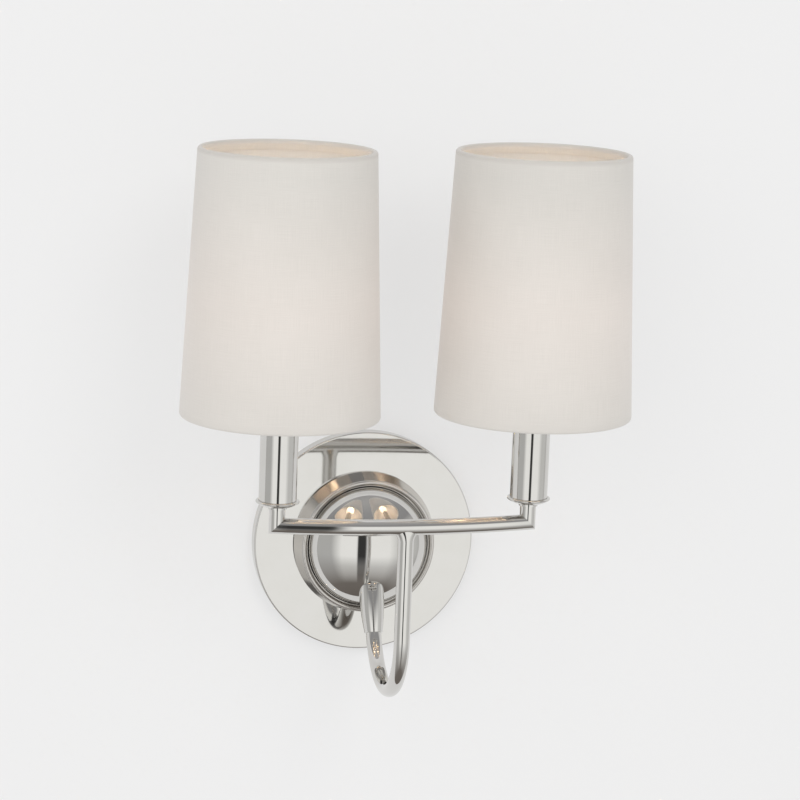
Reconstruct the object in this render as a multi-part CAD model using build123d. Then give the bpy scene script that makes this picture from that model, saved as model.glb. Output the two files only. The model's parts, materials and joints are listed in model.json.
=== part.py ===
from build123d import *
import math
import os

# Double arm wall sconce: a round backplate with a collar ring and a dome, a hooked tube arm, a bowed
# cross tube with two candles, and a fabric shade on each bulb.
# Frame: millimetres, +X to the right, +Y into the wall, +Z up. The origin is on the wall plane at the
# centre of the backplate, so the sconce stands out along -Y.

# ---- Clearances -----------------------------------------------------------------------------------
SLIP = 0.05            # each side, round parts that slide or turn in one another
SEAT_GAP = 0.3         # between a moving piece and what it sits on
THREAD_GAP = 0.05      # each side, screws in their threaded holes

# ---- Backplate ------------------------------------------------------------------------------------
PLATE_RADIUS = 69.5
PLATE_DEPTH = 8.5
PLATE_WALL = 1.5
PLATE_EDGE_ROUND = 1.0
WIRE_HOLE_RADIUS = 4.0

# ---- Wall bracket and the screws behind the plate -------------------------------------------------
BRACKET_WIDTH = 20.0
BRACKET_THICK = 1.6
BRACKET_TOP_ROOM = 8.0        # inside of the rim to the top tab
BRACKET_BOTTOM_ROOM = 4.0     # inside of the rim to the bottom tab
BRACKET_TAB_FRONT_GAP = 1.0   # inside of the plate to the bottom tab
HOOK_TAB_REACH = 3.2          # the top tab's reach in front of the strap
HOOK_LIP_HEIGHT = 4.0
BOX_SCREW_SPACING = 83.0
BOX_SLOT_LENGTH = 16.0
BOX_SLOT_RADIUS = 2.4
CLIP_THICK = 1.2
CLIP_WIDTH = 24.0
CLIP_LEG = 14.0
CLIP_LIP = 3.2
GROUND_SCREW_HEIGHT = 22.0
GROUND_SCREW_RADIUS = 2.0
GROUND_HEAD_RADIUS = 3.8
GROUND_HEAD_HEIGHT = 2.2
LOCK_SCREW_RADIUS = 2.0
LOCK_SCREW_PAST_TAB = 2.0
LOCK_SCREW_SUNK = 0.2

# ---- Collar ring and dome -------------------------------------------------------------------------
COLLAR_BASE_RADIUS = 44.8
COLLAR_RIM_RADIUS = 40.5
COLLAR_HEIGHT = 14.3
COLLAR_BEAD_RADIUS = 1.5
COLLAR_FOOT = 1.4
COLLAR_FLANGE = 1.5
COLLAR_FLANGE_RADIUS = 29.0
TROUGH_DEPTH = 5.0
DOME_RADIUS = 37.8
DOME_SKIRT = 7.62             # the straight side, from the flange to the shoulder
DOME_KNUCKLE = 18.1           # the rounding from the side to the crown
DOME_CROWN = 47.0
DOME_WALL = 1.6

# ---- Hub block inside the dome --------------------------------------------------------------------
HUB_WIDTH = 18.0
HUB_HEIGHT = 24.0
HUB_FRONT_WALL = 2.6
HUB_SCREW_RISE = 9.0
HUB_SCREW_RADIUS = 2.0
HUB_SCREW_BITE = 9.0
HUB_HEAD_RADIUS = 3.4
HUB_HEAD_HEIGHT = 2.4
ARM_GRIP = 12.0               # the arm's length inside the block
SET_SCREW_RADIUS = 2.0
SLOT_WIDTH = 0.9
SLOT_DEPTH = 0.9

# ---- Arm, cross tube and risers -------------------------------------------------------------------
TUBE_RADIUS = 4.7
TUBE_WALL = 1.1
CANDLE_OUT = 115.0            # wall to candle axis
CANDLE_SPACING = 151.0
BAR_BOW = 8.5                 # how much further out the bar's middle stands
BAR_HEIGHT = 36.7
HOOK_RADIUS = 40.5
HOOK_CENTRE_DROP = 68.4       # bar's axis down to the hook's centre
HOOK_LEAN = 25.0              # degrees, the rear leg from upright
TEE_BRANCH = 12.0             # bar's axis down to the joint with the arm
TEE_FLARE = 4.3               # how much wider the branch gets on each side inside the bar
TEE_FLARE_START = 1.0         # bar's axis down to the flare's first section, inside the bar
TEE_FLARE_END = 9.0
TEE_FLARE_INSET = 0.4         # how much shallower that first section is than the tube
RISER_HEIGHT = 10.3
FERRULE_PAST_DOME = 5.2       # the flat end beyond the dome's surface, on the arm's axis
FERRULE_END_RADIUS = 5.5
FERRULE_MID_RADIUS = 7.3
FERRULE_RADIUS = 7.7
FERRULE_ROUND = 1.3

# ---- Candle: dish, sleeve and socket --------------------------------------------------------------
DISH_RIM_RADIUS = 12.8
DISH_BEAD_RADIUS = 0.8
DISH_NECK_RADIUS = 5.6
DISH_NECK_HEIGHT = 1.2
DISH_HEIGHT = 4.0             # neck's underside to the floor that the sleeve stands on
DISH_FLOOR_THICK = 1.1
NIPPLE_WALL = 1.2
NIPPLE_DROP = 6.0
NIPPLE_RISE = 3.6
SLEEVE_RADIUS = 11.1
SLEEVE_WALL = 0.7
SLEEVE_LENGTH = 76.0
POST_WIDTH = 9.0
POST_THICK = 1.4
POST_OFFSET = 8.2
SOCKET_RADIUS = 9.3
SOCKET_HEIGHT = 30.0
SOCKET_INSET = 0.8            # socket's top below the sleeve's top
SOCKET_BASE = 7.0
SHELL_WALL = 0.5
CONTACT_RADIUS = 3.2
CONTACT_HEIGHT = 1.2

# ---- Bulb -----------------------------------------------------------------------------------------
BULB_BASE_RADIUS = 5.95
BULB_BASE_LENGTH = 20.0
BULB_TIP_RADIUS = 2.4
BULB_TIP_LENGTH = 2.6
GLASS_RADIUS = 17.0
GLASS_WALL = 0.8
GLASS_SHOULDER = 24.0         # neck to the widest point
GLASS_LENGTH = 74.0
GLASS_TIP_RADIUS = 1.9
STEM_RADIUS = 2.2
STEM_LENGTH = 18.0
FILAMENT_RADIUS = 0.9
FILAMENT_LENGTH = 30.0
FILAMENT_CIRCLE = 4.2
FILAMENT_DISC = 0.8

# ---- Shade, its frame and clip --------------------------------------------------------------------
SHADE_BOTTOM_RADIUS = 58.2
SHADE_TOP_RADIUS = 51.4
SHADE_BOTTOM = 64.9           # bar's axis up to the shade's lower edge
SHADE_HEIGHT = 155.4
SHADE_SKIN = 0.7
HEM_RADIUS = 1.75
HEM_RETURN = 3.0
FRAME_WIRE_RADIUS = 0.85
ARM_WIRE_RADIUS = 0.75
HUB_RADIUS = 8.0
HUB_THICK = 1.8
HUB_ABOVE_BULB = 14.0
ARM_BEND_RISE = 20.0
ARM_BEND_RADIUS = 6.0
CLIP_WIRE_RADIUS = 0.9
CLIP_HALF_WIDTH = 8.0
CLIP_TOP_HALF_WIDTH = 3.0
CLIP_TOP_OUT = 6.5
CLIP_CORNER = 6.0
CLIP_WASHER_RADIUS = 7.5
RIVET_RADIUS = 1.9
RIVET_HEAD_RADIUS = 3.4
RIVET_HEAD_HEIGHT = 1.2
RIVET_PLAY = 0.1

# ---- Places worked out from those sizes -----------------------------------------------------------
FLAT_CUT = 2.0                         # how far a cutting tool runs past what it cuts
PLATE_INSIDE = PLATE_RADIUS - PLATE_WALL
PLATE_BACK = PLATE_DEPTH - PLATE_WALL            # wall to the plate's inner face
BRACKET_TOP = PLATE_INSIDE - BRACKET_TOP_ROOM
BRACKET_BOTTOM = -(PLATE_INSIDE - BRACKET_BOTTOM_ROOM)
LIP_FRONT = BRACKET_THICK + HOOK_TAB_REACH
LIP_BACK = LIP_FRONT - BRACKET_THICK
LIP_TOP = BRACKET_TOP + HOOK_LIP_HEIGHT
DOME_SEAT = PLATE_DEPTH + COLLAR_FLANGE          # wall to the dome's edge
DOME_SHOULDER = DOME_SEAT + DOME_SKIRT
DOME_TURN = math.asin((DOME_RADIUS - DOME_KNUCKLE) / (DOME_CROWN - DOME_KNUCKLE))
DOME_CROWN_OUT = DOME_SHOULDER - (DOME_CROWN - DOME_KNUCKLE) * math.cos(DOME_TURN)
TUBE_BORE = TUBE_RADIUS - TUBE_WALL
BAR_MIDDLE_OUT = CANDLE_OUT + BAR_BOW
HOOK_CENTRE_OUT = BAR_MIDDLE_OUT - HOOK_RADIUS
HOOK_CENTRE_Z = BAR_HEIGHT - HOOK_CENTRE_DROP
LEAN = math.radians(HOOK_LEAN)
REAR_OUT = HOOK_CENTRE_OUT - HOOK_RADIUS * math.cos(LEAN)
REAR_Z = HOOK_CENTRE_Z - HOOK_RADIUS * math.sin(LEAN)
RISER_TOP = BAR_HEIGHT + RISER_HEIGHT
DISH_FLOOR = RISER_TOP + DISH_HEIGHT
SLEEVE_TOP = DISH_FLOOR + SLEEVE_LENGTH
SOCKET_TOP = SLEEVE_TOP - SOCKET_INSET
SOCKET_BOTTOM = SOCKET_TOP - SOCKET_HEIGHT
CAVITY_FLOOR = SOCKET_BOTTOM + SOCKET_BASE
SHELL_INSIDE = BULB_BASE_RADIUS + SLIP
SHELL_OUTSIDE = SHELL_INSIDE + SHELL_WALL
NIPPLE_RADIUS = TUBE_BORE - SLIP
BULB_TIP_Z = CAVITY_FLOOR + CONTACT_HEIGHT + SEAT_GAP
BULB_BASE_TOP = BULB_TIP_Z + BULB_TIP_LENGTH + BULB_BASE_LENGTH
GLASS_WIDEST = BULB_BASE_TOP + GLASS_SHOULDER
GLASS_TOP = BULB_BASE_TOP + GLASS_LENGTH
CLIP_WASHER_Z = GLASS_TOP + HUB_ABOVE_BULB
HUB_Z = CLIP_WASHER_Z + HUB_THICK
SHADE_LOW = BAR_HEIGHT + SHADE_BOTTOM
SHADE_TOP = SHADE_LOW + SHADE_HEIGHT
SIDES = (("left", -1), ("right", 1))


def ring_wire(x_radius, wire_radius, height):
    """A closed wire ring about Z."""
    return Pos(0, 0, height) * Torus(x_radius, wire_radius)


def outline(*edges):
    """A flat face from edges drawn as (radius, height) in the X-Z plane."""
    return Plane.XZ * make_face(edges)


def turned(*edges):
    """A solid of revolution about Z from edges drawn as (radius, height)."""
    return revolve(outline(*edges), axis=Axis.Z)


def polygon(*points):
    """Edges of a closed outline with straight sides."""
    return [Line(a, b) for a, b in zip(points, points[1:] + points[:1])]


def tube(outer, inner, low, high):
    """An upright tube between two heights."""
    length = high - low
    solid = Cylinder(outer, length, align=(Align.CENTER, Align.CENTER, Align.MIN))
    hole = Cylinder(inner, length, align=(Align.CENTER, Align.CENTER, Align.MIN))
    return Pos(0, 0, low) * (solid - hole)


def rod(radius, low, high):
    """An upright round bar between two heights."""
    return Pos(0, 0, low) * Cylinder(radius, high - low, align=(Align.CENTER, Align.CENTER, Align.MIN))


def block(x_low, x_high, out_low, out_high, z_low, z_high):
    """A box given by its reach out from the wall instead of by Y."""
    size = (x_high - x_low, out_high - out_low, z_high - z_low)
    centre = ((x_low + x_high) / 2, -(out_low + out_high) / 2, (z_low + z_high) / 2)
    return Pos(*centre) * Box(*size)


def outward(solid):
    """Turns a solid made about +Z so that it stands out from the wall."""
    return Rot(90, 0, 0) * solid


def wire(path, radius):
    """A round wire or tube core along a path."""
    section = Plane(origin=path @ 0, z_dir=path % 0) * Circle(radius)
    return sweep(section, path=path)


def arm_point(distance):
    """A point on the rear leg's axis, measured up from where the hook's bend starts."""
    out = REAR_OUT - math.sin(LEAN) * distance
    return Vector(0, -out, REAR_Z + math.cos(LEAN) * distance)


def arm_distance_at(height):
    """How far along the rear leg's axis it reaches a height."""
    return (height - REAR_Z) / math.cos(LEAN)


def arm_distance_at_dome():
    """How far along the rear leg's axis it meets the dome's crown."""
    out = REAR_OUT - DOME_CROWN_OUT
    along = math.sin(LEAN) * out - math.cos(LEAN) * REAR_Z
    return along - math.sqrt(along**2 - out**2 - REAR_Z**2 + DOME_CROWN**2)


ARM_DIRECTION = (arm_point(1) - arm_point(0)).normalized()
ARM_AT_DOME = arm_distance_at_dome()
ARM_AT_HUB = arm_distance_at(-HUB_HEIGHT / 2)
ARM_END = ARM_AT_HUB + ARM_GRIP
HUB_DEPTH = -arm_point(ARM_AT_HUB).Y + TUBE_RADIUS / math.cos(LEAN) + HUB_FRONT_WALL


def arm_rod(radius, start, end):
    """A round bar along the rear leg's axis between two distances."""
    place = Plane(origin=arm_point(start), z_dir=ARM_DIRECTION)
    return place * Cylinder(radius, end - start, align=(Align.CENTER, Align.CENTER, Align.MIN))


def screw(radius, length, head_radius, head_height):
    """A slotted pan-head screw along +Z, its head's underside at the origin."""
    shank = Pos(0, 0, 0) * Cylinder(radius, length, align=(Align.CENTER, Align.CENTER, Align.MIN))
    head = Cylinder(head_radius, head_height, align=(Align.CENTER, Align.CENTER, Align.MAX))
    head = fillet(head.edges().group_by(Axis.Z)[0], head_height * 0.4)
    slot = Pos(0, 0, SLOT_DEPTH - head_height) * Box(
        2 * head_radius + FLAT_CUT, SLOT_WIDTH, 2 * SLOT_DEPTH
    )
    return shank + head - slot


# ---- Behind the plate -----------------------------------------------------------------------------
def make_wall_bracket():
    """The slotted strap that the outlet box's screws hold, with a hook above and a tab below."""
    half = BRACKET_WIDTH / 2
    tab_front = PLATE_BACK - BRACKET_TAB_FRONT_GAP
    strap = block(-half, half, 0, BRACKET_THICK, BRACKET_BOTTOM, BRACKET_TOP)
    top_tab = block(-half, half, 0, LIP_FRONT, BRACKET_TOP - BRACKET_THICK, BRACKET_TOP)
    lip = block(-half, half, LIP_BACK, LIP_FRONT, BRACKET_TOP - BRACKET_THICK, LIP_TOP)
    bottom_tab = block(-half, half, 0, tab_front, BRACKET_BOTTOM, BRACKET_BOTTOM + BRACKET_THICK)
    body = strap + top_tab + lip + bottom_tab
    slot = SlotOverall(BOX_SLOT_LENGTH, 2 * BOX_SLOT_RADIUS, rotation=90)
    cutter = Pos(0, FLAT_CUT, 0) * extrude(Plane.XZ * slot, BRACKET_THICK + 2 * FLAT_CUT)
    for side in (-1, 1):
        body -= Pos(0, 0, side * BOX_SCREW_SPACING / 2) * cutter
    ground_hole = outward(rod(GROUND_SCREW_RADIUS + THREAD_GAP, -FLAT_CUT, BRACKET_THICK + FLAT_CUT))
    body -= Pos(0, 0, GROUND_SCREW_HEIGHT) * ground_hole
    lock_hole = rod(LOCK_SCREW_RADIUS + THREAD_GAP, BRACKET_BOTTOM - FLAT_CUT,
                    BRACKET_BOTTOM + BRACKET_THICK + FLAT_CUT)
    return body - Pos(0, -PLATE_DEPTH / 2, 0) * lock_hole


def make_ground_screw():
    """The green ground screw, its point flush with the back of the strap."""
    body = screw(GROUND_SCREW_RADIUS, BRACKET_THICK, GROUND_HEAD_RADIUS, GROUND_HEAD_HEIGHT)
    return Pos(0, -BRACKET_THICK, GROUND_SCREW_HEIGHT) * Rot(-90, 0, 0) * body


def make_hanger_clip():
    """The bent strip inside the plate that hooks over the bracket's lip."""
    half = CLIP_WIDTH / 2
    low = LIP_TOP + SLIP
    high = low + CLIP_THICK
    lip_back = LIP_BACK - SLIP
    front = block(-half, half, PLATE_BACK - CLIP_THICK, PLATE_BACK, high - CLIP_LEG, high)
    top = block(-half, half, lip_back - CLIP_THICK, PLATE_BACK, low, high)
    back = block(-half, half, lip_back - CLIP_THICK, lip_back, low - CLIP_LIP, high)
    return front + top + back


def make_lock_screw():
    """The slotted grub screw up through the bottom of the rim into the bracket's tab."""
    low = LOCK_SCREW_SUNK - PLATE_RADIUS
    body = rod(LOCK_SCREW_RADIUS, low, BRACKET_BOTTOM + BRACKET_THICK + LOCK_SCREW_PAST_TAB)
    body -= Pos(0, 0, low) * Box(4 * LOCK_SCREW_RADIUS, SLOT_WIDTH, 2 * SLOT_DEPTH)
    return Pos(0, -PLATE_DEPTH / 2, 0) * body


def make_hub_screws():
    """Two screws from behind the plate into the hub block."""
    body = screw(HUB_SCREW_RADIUS, PLATE_WALL + HUB_SCREW_BITE, HUB_HEAD_RADIUS, HUB_HEAD_HEIGHT)
    placed = Pos(0, -PLATE_BACK, 0) * outward(body)
    return Compound(children=[Pos(0, 0, side * HUB_SCREW_RISE) * placed for side in (-1, 1)])


# ---- Backplate, collar ring, dome and hub ---------------------------------------------------------
def make_backplate():
    """A spun disc with a turned-back rim, open to the wall."""
    corner = PLATE_RADIUS - PLATE_EDGE_ROUND
    shoulder = PLATE_DEPTH - PLATE_EDGE_ROUND
    turn = math.sqrt(0.5) * PLATE_EDGE_ROUND
    shell = turned(
        Line((0, PLATE_BACK), (PLATE_INSIDE, PLATE_BACK)),
        Line((PLATE_INSIDE, PLATE_BACK), (PLATE_INSIDE, 0)),
        Line((PLATE_INSIDE, 0), (PLATE_RADIUS, 0)),
        Line((PLATE_RADIUS, 0), (PLATE_RADIUS, shoulder)),
        ThreePointArc((PLATE_RADIUS, shoulder), (corner + turn, shoulder + turn), (corner, PLATE_DEPTH)),
        Line((corner, PLATE_DEPTH), (0, PLATE_DEPTH)),
        Line((0, PLATE_DEPTH), (0, PLATE_BACK)),
    )
    shell -= rod(WIRE_HOLE_RADIUS, PLATE_BACK - FLAT_CUT, PLATE_DEPTH + FLAT_CUT)
    shell = outward(shell)
    screw_hole = outward(rod(HUB_SCREW_RADIUS + SLIP, PLATE_BACK - FLAT_CUT, PLATE_DEPTH + FLAT_CUT))
    for side in (-1, 1):
        shell -= Pos(0, 0, side * HUB_SCREW_RISE) * screw_hole
    lock_hole = rod(LOCK_SCREW_RADIUS + SLIP, -PLATE_RADIUS - FLAT_CUT, -PLATE_INSIDE + FLAT_CUT)
    return shell - Pos(0, -PLATE_DEPTH / 2, 0) * lock_hole


def make_collar_ring():
    """The raised moulding: a sloping outer wall, a round bead and a hollow trough beside the dome."""
    bead_height = COLLAR_HEIGHT - COLLAR_BEAD_RADIUS
    outer = COLLAR_RIM_RADIUS + COLLAR_BEAD_RADIUS
    inner = COLLAR_RIM_RADIUS - COLLAR_BEAD_RADIUS
    lip = DOME_RADIUS + SEAT_GAP
    lip_height = COLLAR_HEIGHT - TROUGH_DEPTH
    cove = (inner - 0.28 * (inner - lip), bead_height - 0.62 * (bead_height - lip_height))
    section = turned(
        Line((COLLAR_FLANGE_RADIUS, 0), (COLLAR_BASE_RADIUS, 0)),
        Line((COLLAR_BASE_RADIUS, 0), (COLLAR_BASE_RADIUS, COLLAR_FOOT)),
        Line((COLLAR_BASE_RADIUS, COLLAR_FOOT), (outer, bead_height)),
        ThreePointArc((outer, bead_height), (COLLAR_RIM_RADIUS, COLLAR_HEIGHT), (inner, bead_height)),
        ThreePointArc((inner, bead_height), cove, (lip, lip_height)),
        Line((lip, lip_height), (lip, COLLAR_FLANGE)),
        Line((lip, COLLAR_FLANGE), (COLLAR_FLANGE_RADIUS, COLLAR_FLANGE)),
        Line((COLLAR_FLANGE_RADIUS, COLLAR_FLANGE), (COLLAR_FLANGE_RADIUS, 0)),
    )
    return outward(Pos(0, 0, PLATE_DEPTH) * section)


def dome_arc(centre, radius, start, stop):
    """An arc of the dome's outline, its angles measured from the wall's plane."""
    angles = (start, (start + stop) / 2, stop)
    points = [(centre[0] + radius * math.cos(a), centre[1] + radius * math.sin(a)) for a in angles]
    return ThreePointArc(*points)


def dome_side(inset):
    """The dome's straight side, knuckle and crown, set in from its outside."""
    side = DOME_RADIUS - inset
    turn = math.pi / 2 - DOME_TURN
    return [
        Line((side, DOME_SEAT), (side, DOME_SHOULDER)),
        dome_arc((DOME_RADIUS - DOME_KNUCKLE, DOME_SHOULDER), DOME_KNUCKLE - inset, 0, turn),
        dome_arc((0, DOME_CROWN_OUT), DOME_CROWN - inset, turn, math.pi / 2),
    ]


def dome_block(inset):
    """The dome as a solid, set in from its outside."""
    top = DOME_CROWN_OUT + DOME_CROWN - inset
    side = DOME_RADIUS - inset
    edges = dome_side(inset) + [Line((0, top), (0, DOME_SEAT)), Line((0, DOME_SEAT), (side, DOME_SEAT))]
    return outward(turned(*edges))


def make_dome():
    """A polished cap with a low crown on the collar's flange, with the arm's hole in its underside."""
    inner = DOME_RADIUS - DOME_WALL
    top = DOME_CROWN_OUT + DOME_CROWN
    edges = dome_side(0) + dome_side(DOME_WALL)
    edges.append(Line((DOME_RADIUS, DOME_SEAT), (inner, DOME_SEAT)))
    edges.append(Line((0, top), (0, top - DOME_WALL)))
    shell = outward(turned(*edges))
    return shell - arm_rod(TUBE_RADIUS + SLIP, ARM_AT_DOME - DOME_RADIUS / 3, ARM_AT_HUB)


def make_hub_block():
    """The block inside the dome: the arm's socket from below and a way for the wires from behind."""
    body = block(-HUB_WIDTH / 2, HUB_WIDTH / 2, PLATE_DEPTH, HUB_DEPTH, -HUB_HEIGHT / 2, HUB_HEIGHT / 2)
    body -= arm_rod(TUBE_RADIUS + SLIP, ARM_AT_HUB - 2 * TUBE_RADIUS, ARM_END)
    way_end = -arm_point(ARM_END).Y
    wire_way = outward(rod(WIRE_HOLE_RADIUS, PLATE_DEPTH - FLAT_CUT, way_end))
    body -= wire_way
    bite = PLATE_DEPTH + HUB_SCREW_BITE + SLIP
    thread = outward(rod(HUB_SCREW_RADIUS + THREAD_GAP, PLATE_DEPTH - FLAT_CUT, bite))
    for side in (-1, 1):
        body -= Pos(0, 0, side * HUB_SCREW_RISE) * thread
    hole = Cylinder(SET_SCREW_RADIUS + THREAD_GAP, HUB_WIDTH, align=(Align.CENTER, Align.CENTER, Align.MIN))
    return body - Location(arm_point(SET_SCREW_AT)) * Rot(0, 90, 0) * hole


def make_arm_set_screw():
    """The slotted grub screw that locks the arm in the hub block."""
    start = TUBE_RADIUS + SLIP
    length = HUB_WIDTH / 2 - start
    body = Cylinder(SET_SCREW_RADIUS, length, align=(Align.CENTER, Align.CENTER, Align.MIN))
    body -= Pos(0, 0, length) * Box(4 * SET_SCREW_RADIUS, SLOT_WIDTH, 2 * SLOT_DEPTH)
    return Location(arm_point(SET_SCREW_AT)) * Rot(0, 90, 0) * Pos(0, 0, start) * body


# ---- Arm and cross tube ---------------------------------------------------------------------------
def make_arm_ferrule():
    """The tapered sleeve on the arm, its wide end coped to the dome."""
    length = ARM_AT_DOME + FERRULE_PAST_DOME
    bore = TUBE_RADIUS + SLIP
    turn = math.sqrt(0.5) * FERRULE_ROUND
    round_in = FERRULE_RADIUS - FERRULE_ROUND
    body = turned(
        Line((bore, 0), (FERRULE_END_RADIUS, 0)),
        ThreePointArc((FERRULE_END_RADIUS, 0), (FERRULE_MID_RADIUS, length / 2),
                      (FERRULE_RADIUS, length - FERRULE_ROUND)),
        ThreePointArc((FERRULE_RADIUS, length - FERRULE_ROUND),
                      (round_in + turn, length - FERRULE_ROUND + turn), (round_in, length)),
        Line((round_in, length), (bore, length)),
        Line((bore, length), (bore, 0)),
    )
    placed = Plane(origin=arm_point(0), z_dir=ARM_DIRECTION) * body
    return placed - dome_block(-SLIP)


def make_hook_arm():
    """The arm: out of the hub block, down through the ferrule, round the hook and up to the bar."""
    top = arm_point(ARM_END)
    bend_start = arm_point(0)
    bend_low = Vector(0, -HOOK_CENTRE_OUT, HOOK_CENTRE_Z - HOOK_RADIUS)
    bend_end = Vector(0, -BAR_MIDDLE_OUT, HOOK_CENTRE_Z)
    joint = Vector(0, -BAR_MIDDLE_OUT, BAR_HEIGHT - TEE_BRANCH)
    path = Wire([Line(top, bend_start), ThreePointArc(bend_start, bend_low, bend_end), Line(bend_end, joint)])
    return wire(path, TUBE_RADIUS) - wire(path, TUBE_BORE)


def bar_path():
    """The bar's bowed centre line, with a short straight end past each corner."""
    left = Vector(-CANDLE_SPACING / 2, -CANDLE_OUT, BAR_HEIGHT)
    middle = Vector(0, -BAR_MIDDLE_OUT, BAR_HEIGHT)
    right = Vector(CANDLE_SPACING / 2, -CANDLE_OUT, BAR_HEIGHT)
    bow = ThreePointArc(left, middle, right)
    reach = 3 * TUBE_RADIUS
    start = Line(left - (bow % 0) * reach, left)
    end = Line(right, right + (bow % 1) * reach)
    return Wire([start, bow, end]), bow


def mitre_plane(side):
    """The plane that halves the corner between the bar and a riser."""
    bow = bar_path()[1]
    along = bow % 1 if side > 0 else -(bow % 0)
    corner = Vector(side * CANDLE_SPACING / 2, -CANDLE_OUT, BAR_HEIGHT)
    return Plane(origin=corner, z_dir=(along + Vector(0, 0, 1)).normalized())


def tee_flare():
    """The branch's upper end, widening to each side where it meets the bar."""
    steps = 5
    sections = []
    for step in range(steps + 1):
        part = step / steps
        wide = TUBE_RADIUS + TEE_FLARE * (1 - part) ** 2
        deep = TUBE_RADIUS - TEE_FLARE_INSET * (1 - part)
        level = BAR_HEIGHT - TEE_FLARE_START - (TEE_FLARE_END - TEE_FLARE_START) * part
        sections.append(Plane(origin=(0, -BAR_MIDDLE_OUT, level)) * Ellipse(wide, deep))
    return loft(sections)


def make_cross_tube():
    """The bowed bar with its branch, mitred at both ends."""
    path = bar_path()[0]
    middle = Pos(0, -BAR_MIDDLE_OUT, 0)
    branch_low = BAR_HEIGHT - TEE_BRANCH
    branch = middle * rod(TUBE_RADIUS, branch_low, BAR_HEIGHT - TEE_FLARE_END)
    body = wire(path, TUBE_RADIUS) + (tee_flare() + branch)
    body -= wire(path, TUBE_BORE)
    body -= middle * rod(TUBE_BORE, branch_low - FLAT_CUT, BAR_HEIGHT)
    for side in (-1, 1):
        body = split(body, bisect_by=mitre_plane(side), keep=Keep.BOTTOM)
    return body


def make_riser(side):
    """The short upright that carries a candle, mitred to the bar."""
    place = Pos(side * CANDLE_SPACING / 2, -CANDLE_OUT, 0)
    body = place * tube(TUBE_RADIUS, TUBE_BORE, BAR_HEIGHT - 3 * TUBE_RADIUS, RISER_TOP)
    return split(body, bisect_by=mitre_plane(side), keep=Keep.TOP)


# ---- Candle ---------------------------------------------------------------------------------------
def make_dish():
    """The cup under the sleeve: a neck, a flared underside and a rolled rim."""
    bore = NIPPLE_RADIUS + SLIP
    neck_top = RISER_TOP + DISH_NECK_HEIGHT
    bead = DISH_RIM_RADIUS - DISH_BEAD_RADIUS
    bead_low = DISH_FLOOR - DISH_BEAD_RADIUS / 2
    bead_high = bead_low + 2 * DISH_BEAD_RADIUS
    wall = SLEEVE_RADIUS + 2 * SLIP
    under = (DISH_NECK_RADIUS + 0.55 * (bead - DISH_NECK_RADIUS), neck_top + 0.35 * (bead_low - neck_top))
    return turned(
        Line((bore, RISER_TOP), (DISH_NECK_RADIUS, RISER_TOP)),
        Line((DISH_NECK_RADIUS, RISER_TOP), (DISH_NECK_RADIUS, neck_top)),
        ThreePointArc((DISH_NECK_RADIUS, neck_top), under, (bead, bead_low)),
        ThreePointArc((bead, bead_low), (DISH_RIM_RADIUS, bead_low + DISH_BEAD_RADIUS), (bead, bead_high)),
        Line((bead, bead_high), (wall, bead_high)),
        Line((wall, bead_high), (wall, DISH_FLOOR)),
        Line((wall, DISH_FLOOR), (bore, DISH_FLOOR)),
        Line((bore, DISH_FLOOR), (bore, RISER_TOP)),
    )


def make_socket_nipple():
    """The threaded tube that clamps the dish between the riser and the socket post."""
    return tube(NIPPLE_RADIUS, NIPPLE_RADIUS - NIPPLE_WALL, RISER_TOP - NIPPLE_DROP, DISH_FLOOR + NIPPLE_RISE)


def make_socket_post():
    """A bent strap from the dish's floor up to the socket."""
    half = POST_WIDTH / 2
    outer = POST_OFFSET + POST_THICK / 2
    inner = POST_OFFSET - POST_THICK / 2
    foot = block(-outer, outer, -half, half, DISH_FLOOR, DISH_FLOOR + POST_THICK)
    strap = block(inner, outer, -half, half, DISH_FLOOR, SOCKET_BOTTOM)
    head = block(-half, outer, -half, half, SOCKET_BOTTOM - POST_THICK, SOCKET_BOTTOM)
    inside = rod(SLEEVE_RADIUS - SLEEVE_WALL - 4 * SLIP, DISH_FLOOR, SOCKET_BOTTOM)
    hole = rod(NIPPLE_RADIUS + SLIP, DISH_FLOOR - FLAT_CUT, DISH_FLOOR + POST_THICK + FLAT_CUT)
    return ((foot + strap + head) & inside) - hole


def make_socket_body():
    """The moulded candelabra socket, with a cavity for its shell and contact."""
    body = rod(SOCKET_RADIUS, SOCKET_BOTTOM, SOCKET_TOP)
    return body - rod(SHELL_OUTSIDE + SLIP, CAVITY_FLOOR, SOCKET_TOP + FLAT_CUT)


def make_socket_shell():
    """The brass shell that the bulb's base turns in."""
    low = CAVITY_FLOOR
    floor = tube(SHELL_OUTSIDE, CONTACT_RADIUS + 4 * SLIP, low, low + SHELL_WALL)
    return floor + tube(SHELL_OUTSIDE, SHELL_INSIDE, low, SOCKET_TOP)


def make_socket_contact():
    """The centre contact on the cavity's floor."""
    body = rod(CONTACT_RADIUS, CAVITY_FLOOR, CAVITY_FLOOR + CONTACT_HEIGHT)
    return chamfer(body.edges().group_by(Axis.Z)[-1], CONTACT_HEIGHT / 3)


def make_candle_sleeve():
    """The metal candle sleeve that stands in the dish."""
    body = tube(SLEEVE_RADIUS, SLEEVE_RADIUS - SLEEVE_WALL, DISH_FLOOR, SLEEVE_TOP)
    return body


# ---- Bulb -----------------------------------------------------------------------------------------
def make_bulb_base():
    """The bulb's base: shell, tapered insulator and tip contact."""
    low = BULB_TIP_Z + BULB_TIP_LENGTH
    return turned(*polygon(
        (0, BULB_TIP_Z),
        (BULB_TIP_RADIUS, BULB_TIP_Z),
        (BULB_TIP_RADIUS, BULB_TIP_Z + BULB_TIP_LENGTH / 3),
        (BULB_BASE_RADIUS, low),
        (BULB_BASE_RADIUS, BULB_BASE_TOP),
        (0, BULB_BASE_TOP),
    ))


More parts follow.
